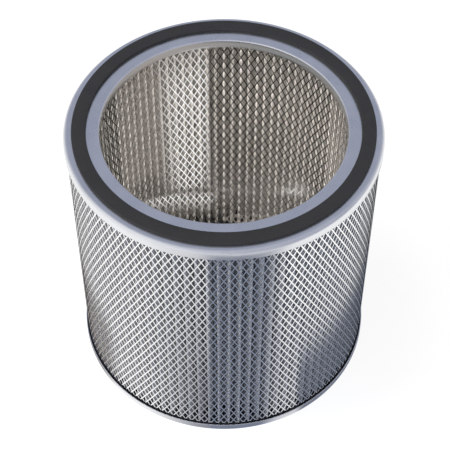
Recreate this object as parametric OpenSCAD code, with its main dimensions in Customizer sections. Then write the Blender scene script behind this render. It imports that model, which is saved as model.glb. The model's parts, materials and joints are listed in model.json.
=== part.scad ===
// Round filter cartridge for a room air purifier, standing on its lower gasket.
// A ring of pleated paper stands between two tubes of expanded metal. Both ends
// are set in sealant inside a pressed steel cap that carries a foam gasket.
// The origin is the centre of the underside, on the axis. Z points up.
// Lengths are in millimetres and angles in degrees.

/* [Cartridge] */
// Outside diameter over the end caps
cap_diameter = 300; // [260:1:360]
// Height from cap face to cap face
cap_to_cap = 296; // [200:1:420]
// Radial width of the end caps, which leaves the round air passage free
ring_width = 34; // [28:0.5:50]

/* [End caps] */
// Thickness of the pressed steel sheet
cap_sheet = 0.8; // [0.6:0.1:1.2]
// Height of the outer skirt from the cap face
skirt_height = 10; // [8:0.5:16]
// Height of the inner flange from the cap face
flange_height = 9; // [7:0.5:14]
// Outside radius of the rounded shoulder above the skirt
shoulder_radius = 2.6; // [1.6:0.2:5]
// Outside radius of the bend into the air passage
throat_radius = 1.6; // [1.4:0.1:3]

/* [Gaskets] */
// Radial width of the foam ring
gasket_width = 13.5; // [8:0.5:16]
// Thickness of the foam ring
gasket_thickness = 3; // [2:0.5:8]
// Bare rim between the gasket and the outside of the cap
gasket_inset = 8; // [5:0.5:10]
// Rounding of the foam ring's free edges
gasket_edge = 0.6; // [0.2:0.1:0.9]

/* [Expanded metal liners] */
// Thickness of the expanded metal from face to face
liner_thickness = 2; // [1.4:0.1:3]
// Space between a liner and the cap wall beside it
liner_gap = 1.2; // [0.8:0.1:2]
// Diamond width, fitted to a whole number around the tube
diamond_width = 55; // [46:1:64]
// Diamond height, fitted to a whole number of rows
diamond_height = 95; // [70:1:110]
// Width of the metal strands between the diamonds
strand_width = 7; // [5:0.5:9]

/* [Pleated paper] */
// Number of pleats around the ring
pleat_count = 90; // [60:1:100]
// Thickness of the paper
paper_thickness = 0.8; // [0.5:0.1:1]
// Width of a folded tip
fold_width = 2.6; // [2.2:0.1:3]
// Space between the folded tips and the liners
pleat_clearance = 0.4; // [0.3:0.1:1]

/* [Sealant] */
// Depth of the sealant bed in each cap
bed_depth = 5; // [3:0.5:6]
// Sealant left under the ends of the liners
bed_floor = 1; // [0.5:0.1:2]
// Clearance between a liner and its groove in the sealant
groove_clearance = 0.3; // [0.2:0.1:0.5]

/* [Hidden] */
$fn = 128;

// End caps
cap_r = cap_diameter / 2;
opening_r = cap_r - ring_width;
bottom_face_z = gasket_thickness;
top_face_z = bottom_face_z + cap_to_cap;

// Liners, from the cap walls inwards and outwards
outer_liner_r = cap_r - cap_sheet - liner_gap;
inner_liner_r = opening_r + cap_sheet + liner_gap;
liner_foot = cap_sheet + bed_floor;
liner_height = cap_to_cap - 2 * liner_foot;
liner_band = bed_depth - bed_floor;

// Columns of diamonds around each liner. The tubes are not quite round: each
// column takes up four flats, whose middles lie a little inside the corners.
flats_per_column = 4;
outer_columns = columns_at(outer_liner_r);
inner_columns = columns_at(inner_liner_r + liner_thickness);
outer_liner_back_r = flat_r(outer_liner_r - liner_thickness, outer_columns);
inner_liner_face_r = flat_r(inner_liner_r, inner_columns);
function columns_at(r) = round(2 * PI * r / diamond_width);
function flat_r(r, columns) = r * cos(180 / (flats_per_column * columns));

// Pleats, between the liners and the two sealant beds
pleat_outer_r = outer_liner_back_r - pleat_clearance;
pleat_inner_r = inner_liner_r + liner_thickness + pleat_clearance;
pleat_foot = cap_sheet + bed_depth;
pleat_height = cap_to_cap - 2 * pleat_foot;

// A gasket's place on the cap face
gasket_outer_r = cap_r - gasket_inset;
gasket_inner_r = gasket_outer_r - gasket_width;

// Facets of the small rounding on a gasket's edges
edge_facets = 32;
// How far a cut reaches past the surface that it opens
overshoot = 1;

// Half section of a cap with its face at height 0 and its walls hanging down.
// inset takes the sheet's thickness off every wall, which leaves the hollow.
module cap_section(inset) {
    inner = opening_r + inset;
    outer = cap_r - inset;
    shoulder = shoulder_radius - inset;
    throat = throat_radius - inset;
    translate([inner + throat, -skirt_height])
        square([outer - shoulder - inner - throat, skirt_height - inset]);
    translate([inner, -skirt_height])
        square([outer - inner, skirt_height - inset - max(shoulder, throat)]);
    bend(outer - shoulder, -inset - shoulder, shoulder, outward = true);
    bend(inner + throat, -inset - throat, throat, outward = false);
}

// Rounded corner of a cap's section, and the straight wall below it.
module bend(x, y, radius, outward) {
    wall_height = skirt_height + y;
    translate([x, y])
        circle(r = radius);
    translate([outward ? x : x - radius, y - wall_height])
        square([radius, wall_height]);
}

// The flange is shorter than the skirt: the strip below it is trimmed away.
module flange_trim() {
    translate([opening_r - overshoot, -skirt_height - overshoot])
        square([cap_sheet + 2 * overshoot, skirt_height - flange_height + overshoot]);
}

module cap_profile() {
    difference() {
        cap_section(0);
        cap_section_hollow();
        flange_trim();
    }
}

// The hollow inside a cap, open at the bottom.
module cap_section_hollow() {
    cap_section(cap_sheet);
    translate([opening_r + cap_sheet, -skirt_height - overshoot])
        square([ring_width - 2 * cap_sheet, 2 * overshoot]);
}

module end_cap() {
    color("lightsteelblue")
        rotate_extrude()
            cap_profile();
}

// Sealant that fills the cap's hollow to bed_depth, with a groove for each liner.
module sealant_profile() {
    difference() {
        intersection() {
            cap_section(cap_sheet);
            translate([opening_r, -pleat_foot])
                square([ring_width, pleat_foot]);
        }
        groove(outer_liner_back_r, outer_liner_r);
        groove(inner_liner_face_r, inner_liner_r + liner_thickness);
    }
}

// Groove for a liner that lies between two radii.
module groove(inside_r, outside_r) {
    width = outside_r - inside_r + 2 * groove_clearance;
    translate([inside_r - groove_clearance, -pleat_foot - overshoot])
        square([width, pleat_foot + overshoot - liner_foot]);
}

module sealant() {
    color("dimgray")
        rotate_extrude()
            sealant_profile();
}

// Foam ring that lies on a cap face at height 0, with its two upper edges rounded.
module gasket() {
    crown = gasket_width - 2 * gasket_edge;
    color("#3c3a38")
        rotate_extrude() {
            translate([gasket_inner_r, 0])
                square([gasket_width, gasket_thickness - gasket_edge]);
            translate([gasket_inner_r + gasket_edge, 0])
                square([crown, gasket_thickness]);
            for (x = [gasket_edge, gasket_width - gasket_edge])
                translate([gasket_inner_r + x, gasket_thickness - gasket_edge])
                    circle(r = gasket_edge, $fn = edge_facets);
        }
}

// Expanded metal tube with upright diamonds. face_r is the radius of the side that
// shows and back_r the radius of the side towards the pleats. The real sheet has the
// same pattern with diamonds about an eighth as wide.
// Eight points go around each diamond: 0 right, 2 top, 4 left and 6 bottom, with one
// halfway along each side between them. Each row is turned by half a diamond, and
// the first and last rows are half diamonds.
module expanded_tube(face_r, back_r, columns) {
    open_height = liner_height - 2 * liner_band;
    top_edge = liner_height - liner_band;
    rows = 2 * round(open_height / diamond_height);
    turn = 360 / columns;
    rise = open_height / rows;
    half_width = PI * min(face_r, back_r) / columns;
    // Share of a diamond's size that its strands take up
    strand_share = strand_width / 2 * norm([half_width, rise]) / (half_width * rise);
    opening = 1 - strand_share;

    // Ways from a diamond's centre to its eight points, around the tube and up it
    around = [1, 0.5, 0, -0.5, -1, -0.5, 0, 0.5];
    upward = [0, 0.5, 1, 0.5, 0, -0.5, -1, -0.5];
    function row_turn(row) = row % 2 == 0 ? 0 : turn / 2;
    function corner(row, column, k) = let(
            angle = column * turn + row_turn(row) + around[k] * opening * turn / 2,
            z = liner_band + (row + upward[k] * opening) * rise)
        [angle, max(liner_band, min(top_edge, z))];
    function on_tube(r, p) = [r * cos(p[0]), r * sin(p[0]), p[1]];

    // Points: the diamonds' on the face and the back, then the end rings on both
    layer = 8 * columns * (rows + 1);
    ring = flats_per_column * columns;
    diamond_points = [for (r = [face_r, back_r]) for (row = [0:rows])
        for (column = [0:columns - 1]) for (k = [0:7]) on_tube(r, corner(row, column, k))];
    ring_points = [for (r = [face_r, back_r]) for (z = [0, liner_height])
        for (step = [0:ring - 1]) on_tube(r, [step * turn / flats_per_column, z])];

    function at(side, row, column, k) =
        side * layer + 8 * (row * columns + (column + columns) % columns) + k % 8;
    function edge(side, end, step) = 2 * layer + (2 * side + end) * ring + (step + ring) % ring;
    // Column in the next row whose diamond stands to the right or left of this one
    function right_of(row, column) = row % 2 == 0 ? column : column + 1;
    function left_of(row, column) = right_of(row, column) - 1;
    function flip(side, face) = side == 0 ? face : [for (n = [len(face) - 1:-1:0]) face[n]];

    // Each strand runs between facing sides of two diamonds, in two lengths
    strands = [for (side = [0, 1]) for (row = [0:rows - 1]) for (column = [0:columns - 1])
        for (m = [0, 1]) each [
            flip(side, [at(side, row, column, m + 1), at(side, row + 1, right_of(row, column), 5 - m),
                        at(side, row + 1, right_of(row, column), 6 - m), at(side, row, column, m)]),
            flip(side, [at(side, row, column, m + 3), at(side, row + 1, left_of(row, column), 7 - m),
                        at(side, row + 1, left_of(row, column), 8 - m), at(side, row, column, m + 2)])]];
    crossings = [for (side = [0, 1]) for (row = [1:rows - 1]) for (column = [0:columns - 1])
        flip(side, [at(side, row, column, 0), at(side, row + 1, right_of(row, column), 6),
                    at(side, row, column + 1, 4), at(side, row - 1, right_of(row, column), 2)])];
    end_crossings = [for (side = [0, 1]) for (column = [0:columns - 1]) each [
        flip(side, [at(side, 0, column, 0), at(side, 1, right_of(0, column), 6),
                    at(side, 0, column + 1, 4)]),
        flip(side, [at(side, rows, column, 0), at(side, rows, column + 1, 4),
                    at(side, rows - 1, right_of(rows, column), 2)])]];

    // Plain bands at the two ends. rim lists a half diamond's points along its band.
    bands = [for (side = [0, 1]) for (end = [0, 1]) for (column = [0:columns - 1])
        let(row = end * rows, start = flats_per_column * column - 2, way = (side + end) % 2,
            rim = end == 0 ? [4, 5, 6, 7, 8] : [4, 3, 2, 1, 0]) each [
            for (m = [0:3])
                flip(way, [edge(side, end, start + m), at(side, row, column, rim[m]),
                           at(side, row, column, rim[m + 1]), edge(side, end, start + m + 1)]),
            flip(way, [edge(side, end, start + 4), at(side, row, column, 0),
                       at(side, row, column + 1, 4)])]];
    end_faces = [for (end = [0, 1]) for (step = [0:ring - 1])
        flip(end, [edge(0, end, step), edge(0, end, step + 1),
                   edge(1, end, step + 1), edge(1, end, step)])];
    walls = [for (row = [0:rows]) for (column = [0:columns - 1]) for (k = [0:7])
        [at(1, row, column, k), at(1, row, column, k + 1),
         at(0, row, column, k + 1), at(0, row, column, k)]];

    faces = concat(strands, crossings, end_crossings, bands, end_faces, walls);
    turned = face_r > back_r ? faces : [for (face = faces) flip(1, face)];
    translate([0, 0, bottom_face_z + liner_foot])
        polyhedron(points = concat(diamond_points, ring_points), faces = turned);
}

// Angle that a length along a circle takes up
function angle_of(length, r) = length / r * 180 / PI;

// One edge of the folded paper seen from above: a closed zigzag whose outer
// folds stand at out_r and inner folds at in_r, with flat tips of the given widths.
function zigzag(out_r, in_r, out_tip, in_tip) = [for (n = [0:pleat_count - 1])
    let(step = 360 / pleat_count,
        a = angle_of(out_tip / 2, out_r),
        b = angle_of(in_tip / 2, in_r))
    each [[out_r, n * step - a], [out_r, n * step + a],
          [in_r, (n + 0.5) * step - b], [in_r, (n + 0.5) * step + b]]];

module zigzag_area(out_r, in_r, out_tip, in_tip) {
    polygon([for (p = zigzag(out_r, in_r, out_tip, in_tip)) p[0] * [cos(p[1]), sin(p[1])]]);
}

// The paper is the area between its outer and its inner edge.
module pleated_paper() {
    inner_tip = fold_width - 2 * paper_thickness;
    linear_extrude(height = pleat_height)
        difference() {
            zigzag_area(pleat_outer_r, pleat_inner_r + paper_thickness, fold_width, inner_tip);
            zigzag_area(pleat_outer_r - paper_thickness, pleat_inner_r, inner_tip, fold_width);
        }
}

// A cap, sealant bed or gasket for the top, and the same one turned over below
module at_top() {
    translate([0, 0, top_face_z])
        children();
}

module at_bottom() {
    translate([0, 0, bottom_face_z])
        mirror([0, 0, 1])
            children();
}

module top_end_cap() {
    at_top() end_cap();
}

module bottom_end_cap() {
    at_bottom() end_cap();
}

module top_sealant() {
    at_top() sealant();
}

module bottom_sealant() {
    at_bottom() sealant();
}

module top_gasket() {
    at_top() gasket();
}

module bottom_gasket() {
    at_bottom() gasket();
}

module outer_liner() {
    color("silver")
        expanded_tube(outer_liner_r, outer_liner_r - liner_thickness, outer_columns);
}

module inner_liner() {
    color("silver")
        expanded_tube(inner_liner_r, inner_liner_r + liner_thickness, inner_columns);
}

module pleated_media() {
    color("ivory")
        translate([0, 0, bottom_face_z + pleat_foot])
            pleated_paper();
}

bottom_gasket();
bottom_end_cap();
bottom_sealant();
inner_liner();
pleated_media();
outer_liner();
top_sealant();
top_end_cap();
top_gasket();
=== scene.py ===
"""Looks of a round air purifier filter cartridge: expanded metal, pleated paper, pressed caps and foam gaskets.

Every size that the solids settle is read from the frame. Lengths are in metres and angles in radians.
"""

import json
import logging
import math
from dataclasses import dataclass, field
from enum import Enum

import bpy
import numpy as np
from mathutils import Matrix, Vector


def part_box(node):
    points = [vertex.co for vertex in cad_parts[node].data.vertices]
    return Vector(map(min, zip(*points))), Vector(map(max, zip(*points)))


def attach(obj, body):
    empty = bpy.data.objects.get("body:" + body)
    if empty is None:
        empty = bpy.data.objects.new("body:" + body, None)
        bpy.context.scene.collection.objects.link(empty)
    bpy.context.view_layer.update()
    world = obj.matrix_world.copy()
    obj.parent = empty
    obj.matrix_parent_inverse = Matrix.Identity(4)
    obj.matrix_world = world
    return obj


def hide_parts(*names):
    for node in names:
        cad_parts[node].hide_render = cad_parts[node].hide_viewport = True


LOG = logging.getLogger("cartridge")
MM = 0.001
TURN = 2 * math.pi


def linear(hex_colour: str) -> tuple[float, float, float, float]:
    """Turns an sRGB hex colour such as "#c8ccd2" into linear light with an alpha of 1."""
    channels = [int(hex_colour[i:i + 2], 16) / 255 for i in (1, 3, 5)]
    bright = [c / 12.92 if c <= 0.04045 else ((c + 0.055) / 1.055) ** 2.4 for c in channels]
    return (*bright, 1.0)


def add_node(tree: bpy.types.NodeTree, kind: str, inputs: dict | None = None, **settings) -> bpy.types.Node:
    """Adds one shader node.

    Args:
        tree: the node tree it goes into.
        kind: the node's type name.
        inputs: socket name or number to a value, or to an output socket that is linked to it.
        settings: properties of the node itself.

    Returns:
        The new node.
    """
    node = tree.nodes.new(kind)
    for name, value in settings.items():
        setattr(node, name, value)
    for name, value in (inputs or {}).items():
        socket = node.inputs[name]
        if isinstance(value, bpy.types.NodeSocket):
            tree.links.new(value, socket)
        else:
            socket.default_value = value
    return node


def new_material(name: str) -> tuple[bpy.types.Material, bpy.types.NodeTree, bpy.types.Node]:
    """Makes an empty node material and returns it with its tree and its output node."""
    material = bpy.data.materials.new(name)
    material.use_nodes = True
    tree = material.node_tree
    tree.nodes.clear()
    return material, tree, add_node(tree, "ShaderNodeOutputMaterial")


def object_noise(tree: bpy.types.NodeTree, grain: float, detail: float = 3.0,
                 stretch: tuple[float, float, float] = (1.0, 1.0, 1.0)) -> bpy.types.NodeSocket:
    """Noise on object coordinates.

    Args:
        tree: the material's tree.
        grain: size of one blob in metres.
        detail: number of finer layers.
        stretch: scale of the pattern along each axis.

    Returns:
        The noise's value from 0 to 1.
    """
    place = add_node(tree, "ShaderNodeTexCoord").outputs["Object"]
    turned = add_node(tree, "ShaderNodeMapping", {"Vector": place, "Scale": stretch})
    noise = add_node(tree, "ShaderNodeTexNoise",
                     {"Vector": turned.outputs["Vector"], "Scale": 1 / grain, "Detail": detail})
    return noise.outputs["Fac"]


def spread(tree: bpy.types.NodeTree, value: bpy.types.NodeSocket, low: float, high: float,
           start: float = 0.3, end: float = 0.7) -> bpy.types.NodeSocket:
    """Maps a value from start..end to low..high."""
    node = add_node(tree, "ShaderNodeMapRange", {
        "Value": value, "From Min": start, "From Max": end, "To Min": low, "To Max": high})
    return node.outputs["Result"]


def blend_colours(tree: bpy.types.NodeTree, share: bpy.types.NodeSocket, first, second) -> bpy.types.NodeSocket:
    """Colour between two, each a constant or a socket, chosen by a share from 0 to 1."""
    node = add_node(tree, "ShaderNodeMix", data_type="RGBA")
    factor, start, end = (next(s for s in node.inputs if s.identifier == name)
                          for name in ("Factor_Float", "A_Color", "B_Color"))
    tree.links.new(share, factor)
    for socket, colour in ((start, first), (end, second)):
        if isinstance(colour, bpy.types.NodeSocket):
            tree.links.new(colour, socket)
        else:
            socket.default_value = colour
    return next(s for s in node.outputs if s.identifier == "Result_Color")


def tint(tree: bpy.types.NodeTree, value: bpy.types.NodeSocket, dark: str, pale: str) -> bpy.types.NodeSocket:
    """Colour between two hex colours, chosen by a value from 0 to 1."""
    return blend_colours(tree, value, linear(dark), linear(pale))


class Side(Enum):
    """Side of a tube that shows."""

    OUTSIDE = 1
    INSIDE = -1


@dataclass(frozen=True)
class ZincSheet:
    """Zinc-plated steel sheet, pressed: cool grey-blue, satin, with a faint fine grain."""

    dark: str = "#dadbdf"
    pale: str = "#e8e9eb"
    roughness: tuple[float, float] = (0.24, 0.34)
    cloud: float = 22 * MM
    grain: float = 0.5 * MM

    def material(self) -> bpy.types.Material:
        """Builds the finish."""
        material, tree, output = new_material("zinc_plated_sheet")
        clouds = object_noise(tree, self.cloud)
        fine = object_noise(tree, self.grain)
        bump = add_node(tree, "ShaderNodeBump", {"Height": fine, "Strength": 0.12, "Distance": 0.1 * MM})
        shader = add_node(tree, "ShaderNodeBsdfPrincipled", {
            "Base Color": tint(tree, clouds, self.dark, self.pale), "Metallic": 1.0,
            "Roughness": spread(tree, clouds, *self.roughness), "Normal": bump.outputs["Normal"]})
        tree.links.new(shader.outputs[0], output.inputs["Surface"])
        return material


@dataclass(frozen=True)
class BrightStrand:
    """Galvanised expanded metal, rolled flat: bright, nearly mirror-like strands."""

    dark: str = "#f6f7f8"
    pale: str = "#ffffff"
    roughness: tuple[float, float] = (0.05, 0.10)
    cloud: float = 9 * MM

    def material(self) -> bpy.types.Material:
        """Builds the finish."""
        material, tree, output = new_material("galvanised_expanded_metal")
        clouds = object_noise(tree, self.cloud)
        shader = add_node(tree, "ShaderNodeBsdfPrincipled", {
            "Base Color": tint(tree, clouds, self.dark, self.pale), "Metallic": 1.0,
            "Roughness": spread(tree, clouds, *self.roughness)})
        tree.links.new(shader.outputs[0], output.inputs["Surface"])
        return material


@dataclass(frozen=True)
class CutEdgeAndShade:
    """Cut edges of the expanded metal, the walls of its openings: dull dark grey, darker than bare steel, so it also
    paints the shade inside the openings.
    """

    # Far darker than bare steel: painted shade on the walls of the openings.
    dark: str = "#3f4247"
    pale: str = "#55585e"
    roughness: float = 0.55
    tear: float = 1.2 * MM

    def material(self) -> bpy.types.Material:
        """Builds the finish."""
        material, tree, output = new_material("cut_edge_and_painted_shade")
        tears = object_noise(tree, self.tear)
        shader = add_node(tree, "ShaderNodeBsdfPrincipled", {
            "Base Color": tint(tree, tears, self.dark, self.pale), "Metallic": 1.0,
            "Roughness": self.roughness})
        tree.links.new(shader.outputs[0], output.inputs["Surface"])
        return material


@dataclass(frozen=True)
class FilterPaper:
    """Wet-laid glass-fibre filter paper, folded: matte warm white with a fine fibre grain."""

    dark: str = "#b9b6b2"
    pale: str = "#c9c6c2"
    fibre: float = 0.6 * MM
    stain: float = 30 * MM

    def material(self) -> bpy.types.Material:
        """Builds the finish."""
        material, tree, output = new_material("pleated_filter_paper")
        fibres = object_noise(tree, self.fibre, stretch=(1.0, 1.0, 0.35))
        stains = object_noise(tree, self.stain)
        bump = add_node(tree, "ShaderNodeBump", {"Height": fibres, "Strength": 0.5, "Distance": 0.15 * MM})
        shader = add_node(tree, "ShaderNodeBsdfPrincipled", {
            "Base Color": tint(tree, stains, self.dark, self.pale), "Roughness": 0.9,
            "Normal": bump.outputs["Normal"]})
        tree.links.new(shader.outputs[0], output.inputs["Surface"])
        return material


@dataclass(frozen=True)
class FoamRubber:
    """Closed-cell foam rubber, die-cut: charcoal black, matte, with tiny open cells."""

    dark: str = "#232221"
    pale: str = "#2e2c2b"
    cell: float = 0.9 * MM
    patch: float = 14 * MM

    def material(self) -> bpy.types.Material:
        """Builds the finish."""
        material, tree, output = new_material("black_foam_rubber")
        cells = object_noise(tree, self.cell, detail=1.0)
        patches = object_noise(tree, self.patch)
        bump = add_node(tree, "ShaderNodeBump", {"Height": cells, "Strength": 0.6, "Distance": 0.3 * MM})
        shader = add_node(tree, "ShaderNodeBsdfPrincipled", {
            "Base Color": tint(tree, patches, self.dark, self.pale),
            "Roughness": spread(tree, cells, 0.62, 0.85), "Normal": bump.outputs["Normal"]})
        tree.links.new(shader.outputs[0], output.inputs["Surface"])
        return material


@dataclass(frozen=True)
class SetSealant:
    """Cast polyurethane sealant: dark grey, smooth, slightly glossy."""

    dark: str = "#2d2e31"
    pale: str = "#404247"
    cloud: float = 12 * MM

    def material(self) -> bpy.types.Material:
        """Builds the finish."""
        material, tree, output = new_material("cast_polyurethane_sealant")
        clouds = object_noise(tree, self.cloud)
        shader = add_node(tree, "ShaderNodeBsdfPrincipled", {
            "Base Color": tint(tree, clouds, self.dark, self.pale),
            "Roughness": spread(tree, clouds, 0.32, 0.5)})
        tree.links.new(shader.outputs[0], output.inputs["Surface"])
        return material


def mesh_piece(name: str, points: np.ndarray, faces: list[np.ndarray], material: bpy.types.Material,
               nodes: tuple[str, ...], smooth_angle: float | None = None) -> bpy.types.Object:
    """Makes a mesh piece that stands for CAD nodes and rides on the one body.

    Args:
        name: the piece's name.
        points: n rows of x, y, z.
        faces: arrays of point numbers, one row a face, each array with its own number of corners.
        material: its finish.
        nodes: the CAD nodes that it replaces.
        smooth_angle: edges flatter than this are shaded smooth; none means flat faces.

    Returns:
        The new object.
    """
    mesh = bpy.data.meshes.new(name)
    loops = np.concatenate([f.ravel() for f in faces]).astype(np.int32)
    counts = np.concatenate([np.full(len(f), f.shape[1]) for f in faces]).astype(np.int32)
    starts = np.concatenate([[0], np.cumsum(counts)[:-1]]).astype(np.int32)
    mesh.vertices.add(len(points))
    mesh.vertices.foreach_set("co", points.astype(np.float32).ravel())
    mesh.loops.add(len(loops))
    mesh.loops.foreach_set("vertex_index", loops)
    mesh.polygons.add(len(counts))
    mesh.polygons.foreach_set("loop_start", starts)
    mesh.update(calc_edges=True)
    mesh.validate()
    mesh.polygons.foreach_set("use_smooth", np.full(len(counts), smooth_angle is not None))
    if smooth_angle is not None:
        mesh.set_sharp_from_angle(angle=smooth_angle)
    mesh.materials.append(material)
    piece = bpy.data.objects.new(name, mesh)
    bpy.context.scene.collection.objects.link(piece)
    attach(piece, "root")
    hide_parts(*nodes)
    LOG.info("%s: %d points, %d faces", name, len(points), len(counts))
    return piece


def revolve(profile: np.ndarray, steps: int) -> tuple[np.ndarray, list[np.ndarray]]:
    """Turns a closed profile about the Z axis.

    A point is (r cos a, r sin a, z), with (r, z) along the profile and a around the axis. The profile runs
    anticlockwise with r to the right and z up, so that the faces point outwards.

    Args:
        profile: n rows of radius and height.
        steps: number of divisions around.

    Returns:
        The points and one array of four-cornered faces.
    """
    angle = np.arange(steps) * TURN / steps
    r, z = profile[:, 0], profile[:, 1]
    points = np.stack([np.outer(np.cos(angle), r), np.outer(np.sin(angle), r),
                       np.broadcast_to(z, (steps, len(z)))], axis=-1).reshape(-1, 3)
    i, j = np.meshgrid(np.arange(steps), np.arange(len(r)), indexing="ij")
    here, up = i * len(r) + j, i * len(r) + (j + 1) % len(r)
    ahead = (i + 1) % steps * len(r)
    faces = np.stack([here, ahead + j, ahead + (j + 1) % len(r), up], axis=-1).reshape(-1, 4)
    return points, [faces]


def arc(x: float, y: float, radius: float, start: float, end: float, count: int = 7) -> np.ndarray:
    """Points of a circular arc about (x, y) from one angle in degrees to another."""
    a = np.radians(np.linspace(start, end, count))
    return np.stack([x + radius * np.cos(a), y + radius * np.sin(a)], axis=-1)


@dataclass
class Sizes:
    """Sizes of the cartridge, read from the solids."""

    cap_r: float = field(init=False)
    opening_r: float = field(init=False)
    top_face: float = field(init=False)
    bottom_face: float = field(init=False)
    sheet: float = 0.8 * MM
    skirt: float = field(init=False)
    flange: float = 9 * MM
    shoulder: float = 4.2 * MM
    throat: float = 1.6 * MM

    def __post_init__(self) -> None:
        """Reads the boxes of the nodes."""
        low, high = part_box("top_end_cap")
        self.cap_r = high.x
        self.top_face = high.z
        self.skirt = high.z - low.z
        self.bottom_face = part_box("bottom_end_cap")[0].z
        opening = next(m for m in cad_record()["mounts"] if m["name"] == "top_opening")
        self.opening_r = opening["dims"]["r_mm"] * MM


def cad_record() -> dict:
    """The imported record."""
    return FRAME["record"]


@dataclass
class ExpandedTube:
    """Tube rolled from flattened expanded metal with upright diamonds."""

    name: str
    side: Side
    columns: int
    diamond_height: float = 12.65 * MM
    strand_width: float = 1.15 * MM
    thickness: float = 0.45 * MM
    edge_band: float = 3 * MM
    unevenness: float = 0.05 * MM

    def lattice(self) -> tuple[np.ndarray, list[np.ndarray]]:
        """Points and faces of the sheet.

        Diamond (row, column) is centred at the angle (column + half of the row's parity) times the pitch and at
        the height row times half a diamond. Its four corners lie towards right, top, left and bottom, pulled in
        by the strand's width. Strands and crossings fill the space between neighbouring diamonds on both faces,
        and each diamond's edge gets a wall through the sheet. The first and last rows are cut to half diamonds.
        """
        low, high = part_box(self.name)
        reach = max(abs(low.x), high.x)
        if self.side is Side.OUTSIDE:
            face_r, back_r = reach, reach - self.thickness
        else:
            face_r = reach - LINER_DEPTH
            back_r = face_r + self.thickness
        columns = self.columns
        foot, head = low.z + self.edge_band, high.z - self.edge_band
        rows = round(2 * (head - foot) / self.diamond_height)
        rise = (head - foot) / rows
        half_width = math.pi * face_r / columns
        pull = 1 - self.strand_width / 2 * math.hypot(half_width, rise) / (half_width * rise)
        row, column, corner = np.meshgrid(np.arange(rows + 1), np.arange(columns), np.arange(4), indexing="ij")
        pitch = TURN / columns
        angle = (column + row % 2 / 2 + np.array([1, 0, -1, 0])[corner] * pull / 2) * pitch
        z = np.clip(foot + (row + np.array([0, 1, 0, -1])[corner] * pull) * rise, foot, head)
        ring = np.arange(2 * columns) * pitch / 2
        angle = np.concatenate([angle.ravel(), ring, ring + rows % 2 * pitch / 2])
        z = np.concatenate([z.ravel(), np.full(2 * columns, low.z), np.full(2 * columns, high.z)])
        random = np.random.default_rng(5)
        angle = angle + random.normal(0, self.unevenness / face_r, len(angle))
        sheets = [np.stack([r * np.cos(angle), r * np.sin(angle), z], axis=-1) for r in (face_r, back_r)]
        layer = len(angle)

        def at(row, column, corner):
            """Number of a diamond's corner on the face sheet."""
            return 4 * (row * columns + column % columns) + corner

        def edge(end, step):
            """Number of a point on the ring at the foot or the head."""
            return 4 * columns * (rows + 1) + end * 2 * columns + step % (2 * columns)

        r, c = (a.ravel() for a in np.meshgrid(np.arange(rows), np.arange(columns), indexing="ij"))
        right = c + r % 2
        quads = [np.stack([at(r, c, 0), at(r + 1, right, 3), at(r + 1, right, 2), at(r, c, 1)], -1),
                 np.stack([at(r, c, 1), at(r + 1, right - 1, 0), at(r + 1, right - 1, 3), at(r, c, 2)], -1)]
        inner = r > 0
        r1, c1, right1 = r[inner], c[inner], right[inner]
        quads.append(np.stack([at(r1, c1, 0), at(r1 - 1, right1, 1), at(r1, c1 + 1, 2),
                               at(r1 + 1, right1, 3)], -1))
        c0 = np.arange(columns)
        last_right = c0 + rows % 2
        tris = [np.stack([at(0, c0, 0), at(0, c0 + 1, 2), at(1, c0, 3)], -1),
                np.stack([at(rows, c0, 0), at(rows - 1, last_right, 1), at(rows, c0 + 1, 2)], -1),
                np.stack([edge(0, 2 * c0 + 1), at(0, c0 + 1, 2), at(0, c0, 0)], -1),
                np.stack([edge(1, 2 * c0 + 1), at(rows, c0, 0), at(rows, c0 + 1, 2)], -1)]
        quads += [np.stack([edge(0, 2 * c0), edge(0, 2 * c0 + 1), at(0, c0, 0), at(0, c0, 3)], -1),
                  np.stack([edge(0, 2 * c0 + 1), edge(0, 2 * c0 + 2), at(0, c0 + 1, 3), at(0, c0 + 1, 2)], -1),
                  np.stack([at(rows, c0, 1), at(rows, c0, 0), edge(1, 2 * c0 + 1), edge(1, 2 * c0)], -1),
                  np.stack([at(rows, c0 + 1, 2), at(rows, c0 + 1, 1), edge(1, 2 * c0 + 2),
                            edge(1, 2 * c0 + 1)], -1)]
        front4, front3 = np.concatenate(quads), np.concatenate(tris)
        every_r, every_c, k = (a.ravel() for a in np.meshgrid(
            np.arange(rows + 1), np.arange(columns), np.arange(4), indexing="ij"))
        here, ahead = at(every_r, every_c, k), at(every_r, every_c, (k + 1) % 4)
        walls = np.stack([here, ahead, ahead + layer, here + layer], -1)
        step = np.arange(2 * columns)
        foot_ring = np.stack([edge(0, step + 1), edge(0, step), edge(0, step) + layer,
                              edge(0, step + 1) + layer], -1)
        head_ring = np.stack([edge(1, step), edge(1, step + 1), edge(1, step + 1) + layer,
                              edge(1, step) + layer], -1)
        faces = [np.concatenate([front4, front4[:, ::-1] + layer, foot_ring, head_ring]),
                 np.concatenate([front3, front3[:, ::-1] + layer]), walls]
        if self.side is Side.INSIDE:
            faces = [f[:, ::-1] for f in faces]
        return np.concatenate(sheets), faces

    def build(self, finish: bpy.types.Material, edge_and_shade_finish: bpy.types.Material) -> None:
        """Makes the tube in place of its solid, with the walls of its openings in the dark edge finish, which also
        paints their shade.
        """
        points, faces = self.lattice()
        tube = mesh_piece(self.name + "_mesh", points, faces, finish, (self.name,))
        tube.data.materials.append(edge_and_shade_finish)
        flat_count = len(faces[0]) + len(faces[1])
        finishes = np.concatenate([np.zeros(flat_count), np.ones(len(faces[2]))]).astype(np.int32)
        tube.data.polygons.foreach_set("material_index", finishes)


LINER_DEPTH = 2 * MM


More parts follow.
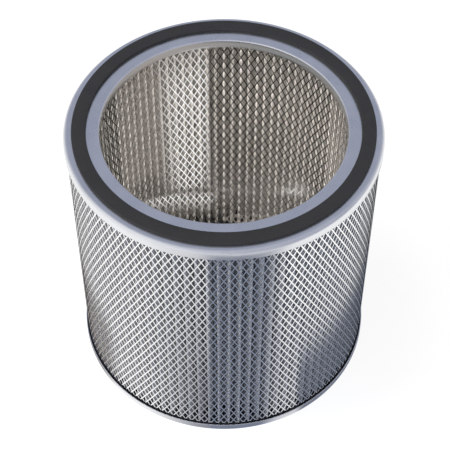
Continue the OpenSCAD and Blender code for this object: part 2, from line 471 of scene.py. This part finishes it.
@dataclass
class PleatedRing:
    """Filter paper folded into upright pleats and closed to a ring."""

    pleats: int = 90
    thickness: float = 0.5 * MM
    outer_fold: float = 0.85 * MM
    inner_fold: float = 1.3 * MM
    levels: int = 14
    sway: float = 0.35 * MM

    def fold_path(self, inner_r: float, outer_r: float) -> tuple[np.ndarray, np.ndarray]:
        """Angle and radius along the middle of the paper, once around.

        Each pleat is a half circle over the outer fold, a straight flank inwards, a half circle around the inner
        fold and a straight flank back. Sideways lengths are turned into angles at their own radius.
        """
        half_pitch = math.pi / self.pleats
        a = np.radians(np.linspace(-84, 84, 9))
        rho = self.outer_fold
        crest = np.stack([rho * np.sin(a) / outer_r, outer_r - rho + rho * np.cos(a)], -1)
        rho = self.inner_fold
        root = np.stack([half_pitch + rho * np.sin(a) / inner_r, inner_r + rho - rho * np.cos(a)], -1)
        flank = np.linspace(0, 1, 5)[1:-1, None]
        down = crest[-1] * (1 - flank) + root[0] * flank
        next_crest = crest[0] + [2 * half_pitch, 0]
        up = root[-1] * (1 - flank) + next_crest * flank
        pleat = np.concatenate([crest, down, root, up])
        turns = np.arange(self.pleats)[:, None] * 2 * half_pitch
        return (turns + pleat[None, :, 0]).ravel(), np.tile(pleat[:, 1], self.pleats)

    def build(self, finish: bpy.types.Material) -> None:
        """Makes the pleats in place of their solid."""
        low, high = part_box("pleated_media")
        outer_r = high.x - self.thickness
        inner_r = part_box("inner_liner")[1].x + self.thickness + 0.4 * MM
        angle, radius = self.fold_path(inner_r, outer_r)
        z = np.linspace(low.z, high.z, self.levels)
        random = np.random.default_rng(11)
        phase = random.uniform(0, TURN, self.pleats)
        lean = random.normal(0, 0.5, self.pleats)
        pleat_of = np.repeat(np.arange(self.pleats), len(angle) // self.pleats)
        up = (z - low.z) / (high.z - low.z)
        wave = np.sin(math.pi * up)[:, None] * (
            np.sin(2.2 * TURN * up[:, None] / 2 + phase[pleat_of]) + lean[pleat_of])
        tip = (radius - inner_r) / (outer_r - inner_r)
        shift = self.sway * wave * np.sin(math.pi * tip)[None, :] + 0.5 * self.sway * wave
        a = angle[None, :] + shift / radius
        x, y = radius * np.cos(a), radius * np.sin(a)
        along_x, along_y = (np.roll(v, -1, 1) - np.roll(v, 1, 1) for v in (x, y))
        length = np.hypot(along_x, along_y)
        nx, ny = along_y / length * self.thickness / 2, -along_x / length * self.thickness / 2
        level = np.broadcast_to(z[:, None], x.shape)
        outside = np.stack([x + nx, y + ny, level], -1)
        inside = np.stack([x - nx, y - ny, level], -1)
        count = x.shape[1]
        i, j = (v.ravel() for v in np.meshgrid(np.arange(self.levels - 1), np.arange(count), indexing="ij"))
        here, ahead = i * count + j, i * count + (j + 1) % count
        skin = np.stack([here, ahead, ahead + count, here + count], -1)
        layer = count * self.levels
        rim = np.arange(count)
        next_rim = (rim + 1) % count
        top = (self.levels - 1) * count
        foot = np.stack([next_rim, rim, rim + layer, next_rim + layer], -1)
        head = np.stack([rim + top, next_rim + top, next_rim + top + layer, rim + top + layer], -1)
        faces = [np.concatenate([skin, skin[:, ::-1] + layer, foot, head])]
        points = np.concatenate([outside.reshape(-1, 3), inside.reshape(-1, 3)])
        mesh_piece("pleated_paper", points, faces, finish, ("pleated_media",),
                   smooth_angle=math.radians(35))


@dataclass
class EndPieces:
    """Cap, gasket and sealant bed of one end."""

    end: str
    sizes: Sizes
    gasket_outer: float = field(init=False)
    gasket_inner: float = field(init=False)
    gasket_thickness: float = field(init=False)
    steps: int = 480

    def __post_init__(self) -> None:
        """Reads the gasket's size."""
        low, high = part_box(self.end + "_gasket")
        self.gasket_outer = high.x
        self.gasket_inner = high.x - GASKET_WIDTH
        self.gasket_thickness = high.z - low.z

    def place(self, profile: np.ndarray) -> np.ndarray:
        """Moves a profile drawn with the cap face at height 0 to its end, turned over at the bottom."""
        if self.end == "top":
            return profile + [0, self.sizes.top_face]
        return (profile * [1, -1] + [0, self.sizes.bottom_face])[::-1]

    def cap_profile(self) -> np.ndarray:
        """Closed outline of the pressed sheet, anticlockwise, with its face at height 0."""
        s = self.sizes
        shoulder, throat, sheet = s.shoulder, s.throat, s.sheet
        lip = 0.25 * MM
        outer = np.concatenate([
            arc(s.cap_r - lip, -s.skirt + lip, lip, -90, 0, 4),
            arc(s.cap_r - shoulder, -shoulder, shoulder, 0, 90, 12),
            arc(s.opening_r + throat, -throat, throat, 90, 180, 10),
            arc(s.opening_r + lip, -s.flange + lip, lip, 180, 270, 4)])
        inner = np.concatenate([
            [[s.opening_r + sheet, -s.flange]],
            arc(s.opening_r + throat, -throat, throat - sheet, 180, 90, 6),
            arc(s.cap_r - shoulder, -shoulder, shoulder - sheet, 90, 0, 8),
            [[s.cap_r - sheet, -s.skirt]]])
        return np.concatenate([outer, inner])

    def build_cap(self, finish: bpy.types.Material) -> None:
        """Makes the pressed cap."""
        points, faces = revolve(self.place(self.cap_profile()), self.steps)
        node = self.end + "_end_cap"
        mesh_piece(node + "_sheet", points, faces, finish, (node,), math.radians(40))

    def build_gasket(self, finish: bpy.types.Material) -> None:
        """Makes the foam ring with softly rounded free edges."""
        edge = 0.6 * MM
        t = self.gasket_thickness
        profile = np.concatenate([
            [[self.gasket_inner, 0], [self.gasket_outer, 0]],
            arc(self.gasket_outer - edge, t - edge, edge, 0, 90, 6),
            arc(self.gasket_inner + edge, t - edge, edge, 90, 180, 6)])
        points, faces = revolve(self.place(profile), self.steps)
        node = self.end + "_gasket"
        mesh_piece(node + "_foam", points, faces, finish, (node,), math.radians(40))

    def dress_sealant(self, finish: bpy.types.Material) -> None:
        """Gives the sealant's solid its finish."""
        node = FRAME["nodes"][self.end + "_sealant"]
        node.data.materials.clear()
        node.data.materials.append(finish)


GASKET_WIDTH = 13.5 * MM


@dataclass
class Reflections:
    """Cards around the cartridge that only reflections and soft light see: the floor's tones and a dark inside.

    A vertical mirror wall shows the camera the floor close to it. The floor card is laid out by that: a floor point
    at the distance d from the wall is seen in the wall at the azimuth a, worked out by seen_in_wall.
    """

    wall_r: float
    opening_r: float
    wall_height: float
    white: str = "#fbfbfa"
    slate: str = "#787f8f"
    shadow: str = "#747a88"
    taupe: str = "#a29c98"
    inner_dark: str = "#2c2926"
    inner_grey: str = "#5a5551"
    inner_warm: str = "#8c847d"
    glare: float = 1.15
    glow_left: float = 0.82
    glow_front: tuple[float, float, float] = (0.40, 0.50, 0.76)
    glow_right: float = 0.24
    glow_inner: tuple[float, float, float] = (1.0, 0.955, 0.915)
    glow_foot: float = 0.02
    glow_head: float = 0.055
    core_r: float = 45 * MM
    core_light: float = 145.0
    lid_light: float = 0.03
    flange_left: str = "#b3ada7"
    flange_right: str = "#9a9a98"
    fan_tip: tuple[float, float] = (0.0, 59 * MM)
    tip_reach: float = 36 * MM
    slate_left: float = math.radians(-5.3)
    slate_right: float = math.radians(19)

    def seen_in_wall(self, azimuth: np.ndarray, distance: np.ndarray) -> np.ndarray:
        """Azimuth on the wall that mirrors a floor point to the camera.

        The mirrored ray leaves the wall at 2.22 times its azimuth, so the floor point's azimuth is the wall's
        times (wall radius + 2.22 distance) / (wall radius + distance).
        """
        return azimuth * (self.wall_r + distance) / (self.wall_r + 2.22 * distance)

    @staticmethod
    def ramp(value: np.ndarray, start: float, end: float) -> np.ndarray:
        """Smooth step from 0 at start to 1 at end."""
        t = np.clip((value - start) / (end - start), 0, 1)
        return t * t * (3 - 2 * t)

    def floor_tones(self, azimuth: np.ndarray, radius: np.ndarray) -> np.ndarray:
        """Colour of the floor card at polar places, the azimuth counted from the front to the right.

        White, blended in turn towards grey left of the slate wedge, a dim taupe far left close to the wall, the
        dark shadow on the right close to the wall, and the slate wedge with a crisp left edge.
        """
        distance = np.maximum(radius - self.wall_r, 0)
        a = np.degrees(self.seen_in_wall(azimuth, distance))
        d = distance / MM
        near = 1 - self.ramp(d, 20, 190)
        tone = np.broadcast_to(linear(self.white)[:3], (*a.shape, 3)).copy()

        def blend(colour: str, share: np.ndarray) -> None:
            """Moves the tone towards a colour."""
            tone[:] += (np.array(linear(colour)[:3]) - tone) * share[..., None]

        blend("#8a8c95", self.ramp(a, -36, -3) * (1 - self.ramp(a, -3, 3)) * (0.4 + 0.6 * near))
        blend("#d0d0d4", self.ramp(a, 12, 24) * near * 0.8)
        blend("#bdb9b5", self.ramp(-a, 55, 70) * (1 - self.ramp(-a, 80, 95)) * 0.2)
        seen = 1 - self.ramp(np.abs(a), 105, 150)
        blend(self.taupe, seen * self.ramp(-a, 46, 60) * (1 - self.ramp(d, 28, 75)))
        blend("#cfd0d1", seen * self.ramp(a, 56, 70) * (1 - 0.6 * self.ramp(d, 90, 200)))
        blend("#8c8d90", seen * self.ramp(a, 68, 80) * 0.8)
        blend(self.shadow, seen * self.ramp(a, 29, 33) * (1 - self.ramp(d, 34, 90)))
        left, right = math.degrees(self.slate_left), math.degrees(self.slate_right)
        wedge = self.ramp(a, left - 0.4, left + 0.4) * (1 - self.ramp(a, right - 6, right + 6))
        blend(self.slate, wedge * (1 - 0.5 * self.ramp(d, 235, 290)))
        return tone * self.glare

    def floor_glow(self, azimuth: np.ndarray, radius: np.ndarray) -> np.ndarray:
        """Soft light off the floor: most at the left, weak and bluish in front, little on the near right."""
        a = np.degrees(azimuth)
        left, right = self.ramp(-a, 0, 55)[..., None], self.ramp(a, 15, 70)[..., None]
        front = np.array(self.glow_front)
        light = front + (self.glow_left - front) * left + (self.glow_right - front) * right
        light = light + (0.5 * (self.glow_left + self.glow_right) - light) * self.ramp(np.abs(a), 95, 175)[..., None]
        shade = self.ramp(a, 15, 35) * (1 - self.ramp((radius - self.wall_r) / MM, 30, 110))
        shade = shade * (1 - self.ramp(a, 105, 150))
        return light * (1 - 0.6 * shade)[..., None]

    def inner_tones(self, x: np.ndarray, y: np.ndarray, z: np.ndarray) -> np.ndarray:
        """Colour inside the tube at a place in metres: a painted reflection of the lit and shaded inside, which the
        inner strands mirror.

        The back of the mirror tube sends the camera's view through one point of the floor, the fan's tip. The way
        of a line through the tip therefore picks the strands that show it. Between two ways the tone is white,
        fading up the wall, with a crisp left edge and a soft right one. Left of it the tone is grey and darkens
        away from the tip, right of it it is a warm grey. Close behind the tip left and right are swapped.
        """
        dark, grey, warm, white = (np.array(linear(c)[:3]) for c in (
            self.inner_dark, self.inner_grey, self.inner_warm, self.white))
        tip_x, tip_y = self.fan_tip
        far = np.hypot(x - tip_x, y - tip_y)
        behind = np.where((y > tip_y) & (far < self.tip_reach), -1, 1)
        way = np.degrees(np.arctan2((x - tip_x) * behind, (tip_y - y) * behind))
        left = grey + (dark - grey) * self.ramp(far, 0, 0.055)[..., None]
        fade = np.maximum(self.ramp(way, 42, 74), 0.75 * self.ramp(z, 0.01, 0.10))
        fade = np.maximum(fade, 0.5 * (1 - self.ramp(far, 0, 0.010)))
        right = white + (warm - white) * fade[..., None]
        tone = left + (right - left) * self.ramp(way, 13.5, 16.5)[..., None]
        # Painted shade: behind the tip the mirrored tone turns grey further away from it.
        painted_grey_behind_tip = np.where(behind < 0, self.ramp(far, 0.008, 0.9 * self.tip_reach), 0)
        tone = tone + (grey - tone) * painted_grey_behind_tip[..., None]
        return (grey + (tone - grey) * self.ramp(far, 0, 0.0035)[..., None]) * self.glare

    def inner_glow(self, z: np.ndarray) -> np.ndarray:
        """Warm soft light inside the tube, stronger higher up."""
        share = self.glow_foot + (self.glow_head - self.glow_foot) * z / self.wall_height
        return share[..., None] * np.array(self.glow_inner)

    def card(self, name: str, points: np.ndarray, tones: np.ndarray, glow: np.ndarray,
             one_sided: bool = False) -> bpy.types.Object:
        """Makes one card of a grid of points that closes around.

        Args:
            name: the card's name.
            points: rings by steps by x, y, z.
            tones: rings by steps by linear colour, which reflections see.
            glow: rings by steps by linear colour, the soft light that matte surfaces get from it.
            one_sided: whether it shows only on the side towards the axis.

        Returns:
            The card.
        """
        rings, steps = points.shape[:2]
        i, j = (v.ravel() for v in np.meshgrid(np.arange(rings - 1), np.arange(steps), indexing="ij"))
        here, ahead = i * steps + j, i * steps + (j + 1) % steps
        mesh = bpy.data.meshes.new(name)
        mesh.from_pydata(points.reshape(-1, 3).tolist(), [],
                         np.stack([here, here + steps, ahead + steps, ahead], -1).tolist())
        material, tree, output = new_material(name)
        lights = []
        for layer_name, colours in (("tone", tones), ("glow", glow)):
            layer = mesh.color_attributes.new(layer_name, "FLOAT_COLOR", "POINT")
            layer.data.foreach_set("color", np.concatenate([colours, np.ones((rings, steps, 1))], -1).ravel())
            colour = add_node(tree, "ShaderNodeAttribute", attribute_name=layer_name).outputs["Color"]
            lights.append(add_node(tree, "ShaderNodeEmission", {"Color": colour, "Strength": 1.0}).outputs[0])
        matte = add_node(tree, "ShaderNodeLightPath").outputs["Is Diffuse Ray"]
        shown = add_node(tree, "ShaderNodeMixShader", {0: matte, 1: lights[0], 2: lights[1]}).outputs[0]
        if one_sided:
            clear = add_node(tree, "ShaderNodeBsdfTransparent").outputs[0]
            back = add_node(tree, "ShaderNodeNewGeometry").outputs["Backfacing"]
            shown = add_node(tree, "ShaderNodeMixShader", {0: back, 1: shown, 2: clear}).outputs[0]
        tree.links.new(shown, output.inputs["Surface"])
        mesh.materials.append(material)
        card = bpy.data.objects.new(name, mesh)
        card.visible_camera = False
        card.visible_shadow = False
        bpy.context.scene.collection.objects.link(card)
        return card

    def build(self) -> None:
        """Lays the floor card and stands the inner card in the tube."""
        azimuth = np.linspace(-math.pi, math.pi, 720, endpoint=False)
        height = 0.4 * MM
        outside = np.concatenate([np.linspace(self.wall_r - 8 * MM, 0.45, 60), np.geomspace(0.47, 4.0, 16)])
        angle, radius = np.meshgrid(azimuth, outside)
        points = np.stack([radius * np.sin(angle), -radius * np.cos(angle), np.full_like(angle, height)], -1)
        self.card("floor_tones", points, self.floor_tones(angle, radius),
                  self.floor_glow(angle, radius))
        inside = np.linspace(0.5 * MM, self.opening_r - 4 * MM, 40)
        angle, radius = np.meshgrid(azimuth, inside)
        points = np.stack([radius * np.sin(angle), -radius * np.cos(angle), np.full_like(angle, height)], -1)
        self.card("inner_floor_tones", points, self.inner_tones(*np.moveaxis(points, -1, 0)),
                  self.inner_glow(points[..., 2]))
        angle, z = np.meshgrid(azimuth, np.linspace(height, self.wall_height, 12))
        radius = self.opening_r - 5 * MM
        points = np.stack([radius * np.sin(angle), -radius * np.cos(angle), z], -1)
        self.card("inner_wall_tones", points, self.inner_tones(*np.moveaxis(points, -1, 0)),
                  self.inner_glow(points[..., 2]), one_sided=True)
        angle, z = np.meshgrid(np.linspace(-math.pi, math.pi, 24, endpoint=False),
                               np.linspace(height, self.wall_height, 12))
        points = np.stack([self.core_r * np.sin(angle), -self.core_r * np.cos(angle), z], -1)
        light = self.inner_glow(z) * self.core_light * (0.81 + 0.19 * np.sin(angle))[..., None]
        self.card("inner_core_light", points, light, light).visible_glossy = False
        angle, radius = np.meshgrid(azimuth, np.linspace(0.5 * MM, self.opening_r - 1 * MM, 6))
        points = np.stack([radius * np.sin(angle), -radius * np.cos(angle),
                           np.full_like(angle, self.wall_height - 2 * MM)], -1)
        light = np.full_like(angle, self.lid_light)[..., None] * np.array(self.glow_inner)
        lid = self.card("opening_soft_light", points, light, light)
        lid.visible_glossy = False
        lid.visible_shadow = True
        angle, z = np.meshgrid(azimuth[::-1], self.wall_height - np.array([14.5, 5.0]) * MM)
        points = np.stack([(self.opening_r - 4 * MM) * np.sin(angle),
                           -(self.opening_r - 4 * MM) * np.cos(angle), z], -1)
        right = self.ramp(np.degrees(-np.sin(angle)), -30, 30)[..., None]
        pale, dim = (np.array(linear(c)[:3]) for c in (self.flange_left, self.flange_right))
        self.card("flange_tones", points, dim + (pale - dim) * right, light[:2], one_sided=True)


@dataclass
class Studio:
    """Pale floor, soft light and the photograph's camera."""

    rim_r: float
    rim_z: float
    image: float = 450.0
    # Camera in rim radii from the top rim's centre, its pitch, and its focal length in pixels
    back: float = 5.8195
    above: float = 6.1660
    pitch: float = 0.8865
    focal: float = 1362.4
    middle_x: float = 223.88
    floor_size: float = 12.0
    # Wide soft boxes: the way to each, its colour and its strength
    soft_boxes: tuple[tuple[tuple[float, float, float], str, float], ...] = (
        ((-0.82, -0.42, 0.40), "#fffcf8", 2.1), ((0.66, -0.45, 0.60), "#fff6ea", 0.28),
        ((-0.12, -0.88, 0.45), "#9db9f0", 0.98), ((0.0, 0.1, 0.99), "#fffaf4", 0.6))
    # Grey walls in reflections: the way to each, its colour and the cosines where it begins and is full
    grey_walls: tuple[tuple[tuple[float, float, float], str, float, float], ...] = (
        ((0.0, 0.69, 0.72), "#a0a6b9", 0.35, 0.92), ((0.60, -0.50, 0.62), "#b4b7c6", 0.30, 0.85))

    def camera(self) -> None:
        """Places the camera that was fitted to the rims in the photograph."""
        data = bpy.data.cameras.new("camera")
        data.sensor_width = 36.0
        data.lens = self.focal / self.image * data.sensor_width
        data.shift_x = (self.image / 2 - self.middle_x) / self.image
        camera = bpy.data.objects.new("camera", data)
        camera.location = (0, -self.back * self.rim_r, self.rim_z + self.above * self.rim_r)
        camera.rotation_euler = (math.pi / 2 - self.pitch, 0, 0)
        bpy.context.scene.collection.objects.link(camera)
        bpy.context.scene.camera = camera

    def floor(self) -> None:
        """Makes the white floor that the camera sees, with the object's shadow kept faintly."""
        half = self.floor_size / 2
        mesh = bpy.data.meshes.new("floor")
        mesh.from_pydata([(-half, -half, 0), (half, -half, 0), (half, half, 0), (-half, half, 0)], [],
                         [(0, 1, 2, 3)])
        material, tree, output = new_material("pale_floor")
        shown = add_node(tree, "ShaderNodeBsdfDiffuse", {"Color": (0.25, 0.25, 0.25, 1.0)})
        glow = add_node(tree, "ShaderNodeEmission", {"Color": (1.0, 1.0, 1.0, 1.0), "Strength": 0.91})
        both = add_node(tree, "ShaderNodeAddShader", {0: shown.outputs[0], 1: glow.outputs[0]})
        tree.links.new(both.outputs[0], output.inputs["Surface"])
        mesh.materials.append(material)
        floor = bpy.data.objects.new("floor", mesh)
        floor.visible_diffuse = False
        floor.visible_glossy = False
        bpy.context.scene.collection.objects.link(floor)

    def sky(self) -> None:
        """World: white to the camera, soft light on the object, and in reflections white with a grey back wall.

        The grey wall is a round patch about the direction behind the cartridge and 46 degrees up, which is where
        the level faces of the caps send the camera's view.
        """
        world = bpy.data.worlds.new("studio")
        world.use_nodes = True
        tree = world.node_tree
        tree.nodes.clear()
        output = add_node(tree, "ShaderNodeOutputWorld")
        path = add_node(tree, "ShaderNodeLightPath")
        way = add_node(tree, "ShaderNodeTexCoord").outputs["Generated"]
        ceiling = linear("#f4f4f6")
        for aim, colour, begin, full in self.grey_walls:
            aimed = add_node(tree, "ShaderNodeVectorMath", {0: way, 1: aim}, operation="DOT_PRODUCT")
            near = spread(tree, aimed.outputs["Value"], 0.0, 1.0, begin, full)
            ceiling = blend_colours(tree, near, ceiling, linear(colour))
        soft = add_node(tree, "ShaderNodeBackground", {"Color": (0.55, 0.74, 1.0, 1.0), "Strength": 0.26})
        for aim, colour, strength in self.soft_boxes:
            aimed = add_node(tree, "ShaderNodeVectorMath", {0: way, 1: aim}, operation="DOT_PRODUCT")
            share = spread(tree, aimed.outputs["Value"], 0.0, strength, 0.45, 0.97)
            box = add_node(tree, "ShaderNodeBackground", {"Color": linear(colour), "Strength": share})
            soft = add_node(tree, "ShaderNodeAddShader", {0: soft.outputs[0], 1: box.outputs[0]})
        mirrored = add_node(tree, "ShaderNodeBackground", {"Color": ceiling, "Strength": 1.0})
        white = add_node(tree, "ShaderNodeBackground", {"Color": (1.0, 1.0, 1.0, 1.0), "Strength": 1.0})
        lit = add_node(tree, "ShaderNodeMixShader", {0: path.outputs["Is Glossy Ray"], 1: soft.outputs[0],
                                                     2: mirrored.outputs[0]})
        mix = add_node(tree, "ShaderNodeMixShader", {0: path.outputs["Is Camera Ray"], 1: lit.outputs[0],
                                                     2: white.outputs[0]})
        tree.links.new(mix.outputs[0], output.inputs["Surface"])
        bpy.context.scene.world = world

    def lamp(self, name: str, place: tuple[float, float, float], size: float, power: float,
             colour: tuple[float, float, float]) -> None:
        """Hangs one soft box that looks at the cartridge's upper half."""
        data = bpy.data.lights.new(name, "AREA")
        data.shape = "DISK"
        data.size = size
        data.energy = power
        data.color = colour
        lamp = bpy.data.objects.new(name, data)
        lamp.location = place
        lamp.visible_glossy = False
        aim = Vector((0, 0, self.rim_z * 0.6)) - Vector(place)
        lamp.rotation_euler = aim.to_track_quat("-Z", "Y").to_euler()
        bpy.context.scene.collection.objects.link(lamp)

    def build(self) -> None:
        """Sets the whole studio."""
        self.camera()
        self.floor()
        self.sky()
        self.lamp("key", (-1.8, -0.5, 1.2), 0.8, 12, (1.0, 0.97, 0.93))


def main() -> None:
    """Builds the cartridge's pieces in order and reports each."""
    logging.basicConfig(level=logging.INFO, format="%(message)s")
    sizes = Sizes()
    Studio(sizes.cap_r, sizes.top_face).build()
    Reflections(sizes.cap_r, sizes.opening_r, sizes.top_face).build()
    # edge is the cut edges' finish, dark enough to paint the shade in the mesh openings.
    zinc, strand, edge = ZincSheet().material(), BrightStrand().material(), CutEdgeAndShade().material()
    paper, foam, sealant = FilterPaper().material(), FoamRubber().material(), SetSealant().material()
    for end in ("bottom", "top"):
        pieces = EndPieces(end, sizes)
        pieces.build_cap(zinc)
        pieces.build_gasket(foam)
        pieces.dress_sealant(sealant)
    PleatedRing().build(paper)
    ExpandedTube("outer_liner", Side.OUTSIDE, columns=140).build(strand, edge)
    ExpandedTube("inner_liner", Side.INSIDE, columns=108, strand_width=0.95 * MM).build(strand, edge)
    bpy.context.scene.view_settings.view_transform = "Standard"


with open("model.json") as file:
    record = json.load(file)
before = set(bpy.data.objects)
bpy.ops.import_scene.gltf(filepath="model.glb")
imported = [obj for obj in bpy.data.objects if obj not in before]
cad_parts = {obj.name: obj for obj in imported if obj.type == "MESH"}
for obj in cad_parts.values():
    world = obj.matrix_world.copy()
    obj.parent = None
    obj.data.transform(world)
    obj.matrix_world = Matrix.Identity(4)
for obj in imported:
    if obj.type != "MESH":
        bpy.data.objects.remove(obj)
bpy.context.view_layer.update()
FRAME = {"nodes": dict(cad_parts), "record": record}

if __name__ == "__main__":
    main()
